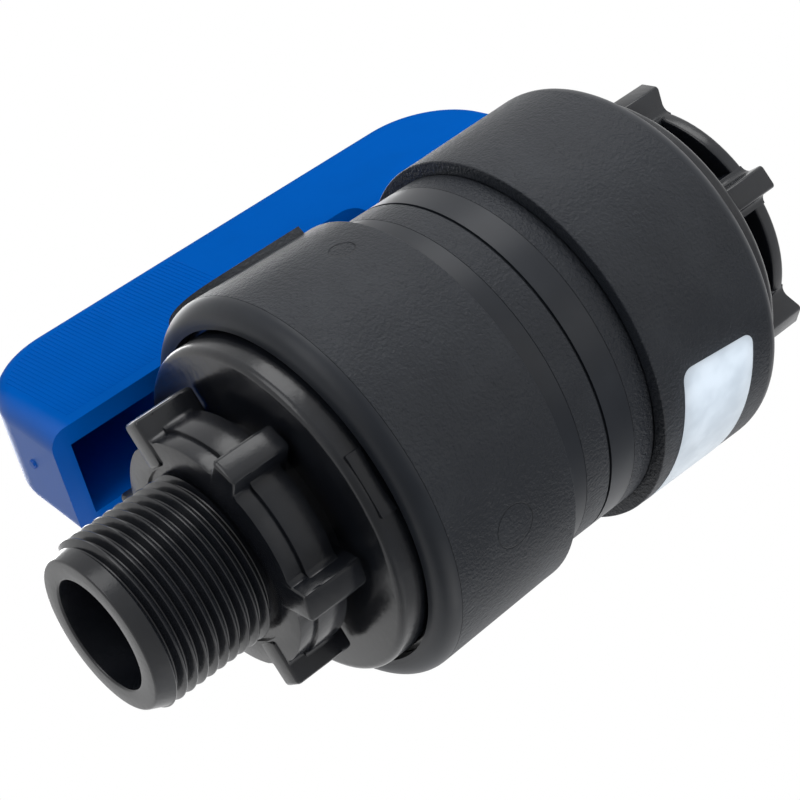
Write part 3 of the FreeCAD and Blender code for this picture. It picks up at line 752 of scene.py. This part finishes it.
low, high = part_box("union_nut_right")
for vert in mesh.verts:
    place = LABEL_CENTRE_X + vert.co.x
    share = (place - low.x / MM) / ((high.x - low.x) / MM)
    radius = NUT_INNER_RADIUS + share * (NUT_LIP_RADIUS - NUT_INNER_RADIUS)
    radius += LABEL_THICKNESS if vert in lifted else -LABEL_SUNK
    angle = LABEL_ANGLE + vert.co.y / NUT_INNER_RADIUS
    vert.co = Vector((place, radius * math.cos(angle), radius * math.sin(angle))) * MM

finish = Finish("white_label_film")
# The crease noise bumps the film and also blends its colour toward LABEL_SHADED, which is painted
# shade in the creases.
crease_and_shade = finish.noise(5.0, 2.0)
label_white = finish.use(
    colour=finish.blend(LABEL_SHADED, LABEL_WHITE, crease_and_shade.ramp(0.3, 0.7)),
    roughness=0.42 + crease_and_shade * 0.1,
    normal=finish.bump(crease_and_shade * 0.15),
)
new_piece("blank_label", mesh, "right_nut", label_white)


# Handle screw: a bright steel screw with a rounded head and a hexagon socket, sunk a little in the
# handle's top. It is turned from rings about its axis, and then stood upright over the stem.
STEEL = (0.50, 0.50, 0.51)
STEEL_BRIGHT = (0.60, 0.60, 0.61)
SCREW_FOOT = 44.5
SCREW_SHANK = 1.9
SCREW_HEAD = 4.0
SCREW_SEAT = 58.5
SCREW_TOP = 60.7
SCREW_SEGMENTS = 48
HEXAGON_HALF = 1.5
HEXAGON_FLOOR = 59.2


def make_hexagon(loop):
    """Moves the loop's corners out from a circle to a hexagon about the X axis."""
    for vert in {v for e in loop for v in e.verts}:
        around = math.atan2(vert.co.z, vert.co.y)
        from_flat = (around + math.pi / 6) % (math.pi / 3) - math.pi / 6
        size = HEXAGON_HALF * MM / math.cos(from_flat)
        vert.co.y, vert.co.z = size * math.cos(around), size * math.sin(around)


mesh = bmesh.new()
upright = Matrix.Rotation(math.pi / 2, 4, "Y")
bmesh.ops.create_circle(
    mesh,
    cap_ends=True,
    segments=SCREW_SEGMENTS,
    radius=SCREW_SHANK * 0.7 * MM,
    matrix=Matrix.Translation((SCREW_FOOT * MM, 0, 0)) @ upright,
)
head = [
    (SCREW_FOOT + 1.0, SCREW_SHANK),
    (SCREW_SEAT, SCREW_SHANK),
    (SCREW_SEAT, SCREW_HEAD),
    (SCREW_TOP - 0.9, SCREW_HEAD),
    (SCREW_TOP - 0.45, SCREW_HEAD - 0.15),
    (SCREW_TOP - 0.12, SCREW_HEAD - 0.6),
    (SCREW_TOP, SCREW_HEAD - 1.3),
    (SCREW_TOP, HEXAGON_HALF),
]
loop = carry_on(mesh, mesh.edges[:], head)
make_hexagon(loop)
loop = carry_on(mesh, loop, [(HEXAGON_FLOOR, HEXAGON_HALF)])
make_hexagon(loop)
bmesh.ops.contextual_create(mesh, geom=loop)
bmesh.ops.rotate(mesh, verts=mesh.verts, cent=(0, 0, 0), matrix=upright.inverted().to_3x3())
bmesh.ops.translate(mesh, verts=mesh.verts, vec=(STEM_X * MM, 0, 0))

finish = Finish("steel_screw")
fine = finish.noise(0.6, 3.0)
steel = finish.use(
    colour=finish.blend(STEEL, STEEL_BRIGHT, fine),
    roughness=0.26 + fine * 0.14,
    metallic=1.0,
    normal=finish.bump(fine * 0.02),
)
screw = new_piece("hex_socket_screw", mesh, "lever", steel)
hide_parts("handle_screw")


# Inside: the ball, stem and carrier in smooth black plastics, white seats, and rubber rings.
# Little of them shows, through the bore and under the handle.
SEAT_WHITE = (0.62, 0.62, 0.6)
SEAT_BRIGHT = (0.7, 0.7, 0.68)
RUBBER = (0.008, 0.008, 0.008)
RUBBER_WORN = (0.014, 0.014, 0.014)
WHITE_PARTS = ("seat_left", "seat_right", "thrust_washer")
RUBBER_RINGS = (
    "seat_ring_left",
    "seat_ring_right",
    "face_ring_left",
    "face_ring_right",
    "carrier_ring",
    "stem_ring_lower",
    "stem_ring_upper",
)

for name, low, high, roughness, nodes in (
    ("ball_black", BLACK, BLACK_WORN, 0.2, ("ball",)),
    ("stem_black", BLACK, BLACK_WORN, 0.32, ("stem",)),
    ("carrier_black", BLACK, BLACK_WORN, 0.35, ("seat_carrier",)),
    ("seat_white", SEAT_WHITE, SEAT_BRIGHT, 0.38, WHITE_PARTS),
    ("ring_rubber", RUBBER, RUBBER_WORN, 0.55, RUBBER_RINGS),
):
    finish = Finish(name)
    fine = finish.noise(1.6, 3.0)
    material = finish.use(
        colour=cloud_of(finish, low, high),
        roughness=roughness + fine * 0.1,
        normal=finish.bump(fine * 0.02),
    )
    for node in nodes:
        paint(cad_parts[node], material)


# Light: four large soft lamps set by the camera's own directions, one above the object, and a
# white world that is seen and mirrored at full strength but lights the object only faintly.
WORLD_LIGHT = 0.15
right, up, back = camera.rotation_quaternion.to_matrix().col
middle = (cad_box[0] + cad_box[1]) / 2

for name, way, distance, size, power in (
    ("key_lamp", up + back * 0.25, 0.6, 0.45, 1.5),
    ("low_lamp", right * 0.6 - up, 0.6, 0.45, 2.1),
    ("left_lamp", back - right * 0.9 + up * 0.5, 0.6, 0.45, 1.05),
    ("right_lamp", back * 0.7 + right + up * 0.45, 0.6, 0.45, 2.0),
    ("top_lamp", Vector((0.3, 0.4, 1.0)), 0.7, 0.5, 3.0),
):
    data = bpy.data.lights.new(name, "AREA")
    data.shape = "DISK"
    data.size = size
    data.energy = power
    lamp = bpy.data.objects.new(name, data)
    scene.collection.objects.link(lamp)
    lamp.location = middle + way.normalized() * distance
    lamp.rotation_mode = "QUATERNION"
    lamp.rotation_quaternion = (middle - lamp.location).to_track_quat("-Z", "Y")


def seen_not_lighting(tree):
    """1 for a ray that shows the surroundings, 0 for one that lights the object."""
    rays = Wire(tree)
    kinds = ("Is Camera Ray", "Is Glossy Ray", "Is Transmission Ray")
    camera_ray, glossy_ray, clear_ray = [
        rays.node("ShaderNodeLightPath", {}, {}, kind) for kind in kinds
    ]
    return (camera_ray + glossy_ray + clear_ray).ramp(0, 1)


world = bpy.data.worlds.new("studio")
scene.world = world
world.use_nodes = True
tree = world.node_tree
background = tree.nodes["Background"]
background.inputs["Color"].default_value = (1, 1, 1, 1)
strength = WORLD_LIGHT + (1 - WORLD_LIGHT) * seen_not_lighting(tree)
tree.links.new(strength.socket, background.inputs["Strength"])


# Floor: a pale plane under the nuts, seen from above only, so that the low camera looks past it
# into the white room, and fading out into that room further away.
FLOOR_RADIUS = 0.6
FLOOR_GAP = 0.0005
FLOOR_COLOUR = (0.86, 0.86, 0.86, 1)
FLOOR_FADE = (180.0, 480.0)

low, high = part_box("union_nut_left")
mesh = bmesh.new()
bmesh.ops.create_circle(mesh, cap_ends=True, segments=96, radius=FLOOR_RADIUS)
for vert in mesh.verts:
    vert.co += Vector((middle.x, middle.y, low.z - FLOOR_GAP))
data = bpy.data.meshes.new("floor")
mesh.to_mesh(data)
mesh.free()
floor = bpy.data.objects.new("floor", data)
scene.collection.objects.link(floor)
floor.visible_shadow = False

finish = Finish("floor_white")
tree = finish.material.node_tree
glow = finish.blend((0, 0, 0), (1, 1, 1), seen_not_lighting(tree))
finish.use(colour=FLOOR_COLOUR, roughness=0.9, glow=glow, glow_strength=0.3)
behind = finish.wire.node("ShaderNodeNewGeometry", {}, {}, "Backfacing")
far = finish.distance(middle / MM).ramp(*FLOOR_FADE)
away = behind.maths("MAXIMUM", behind, far)
solid = Wire(tree, finish.shader.outputs["BSDF"])
clear = finish.wire.node("ShaderNodeBsdfTransparent", {}, {})
either = finish.wire.node("ShaderNodeMixShader", {}, {0: away, 1: solid, 2: clear})
tree.links.new(either.socket, tree.nodes["Material Output"].inputs["Surface"])
floor.data.materials.append(finish.material)
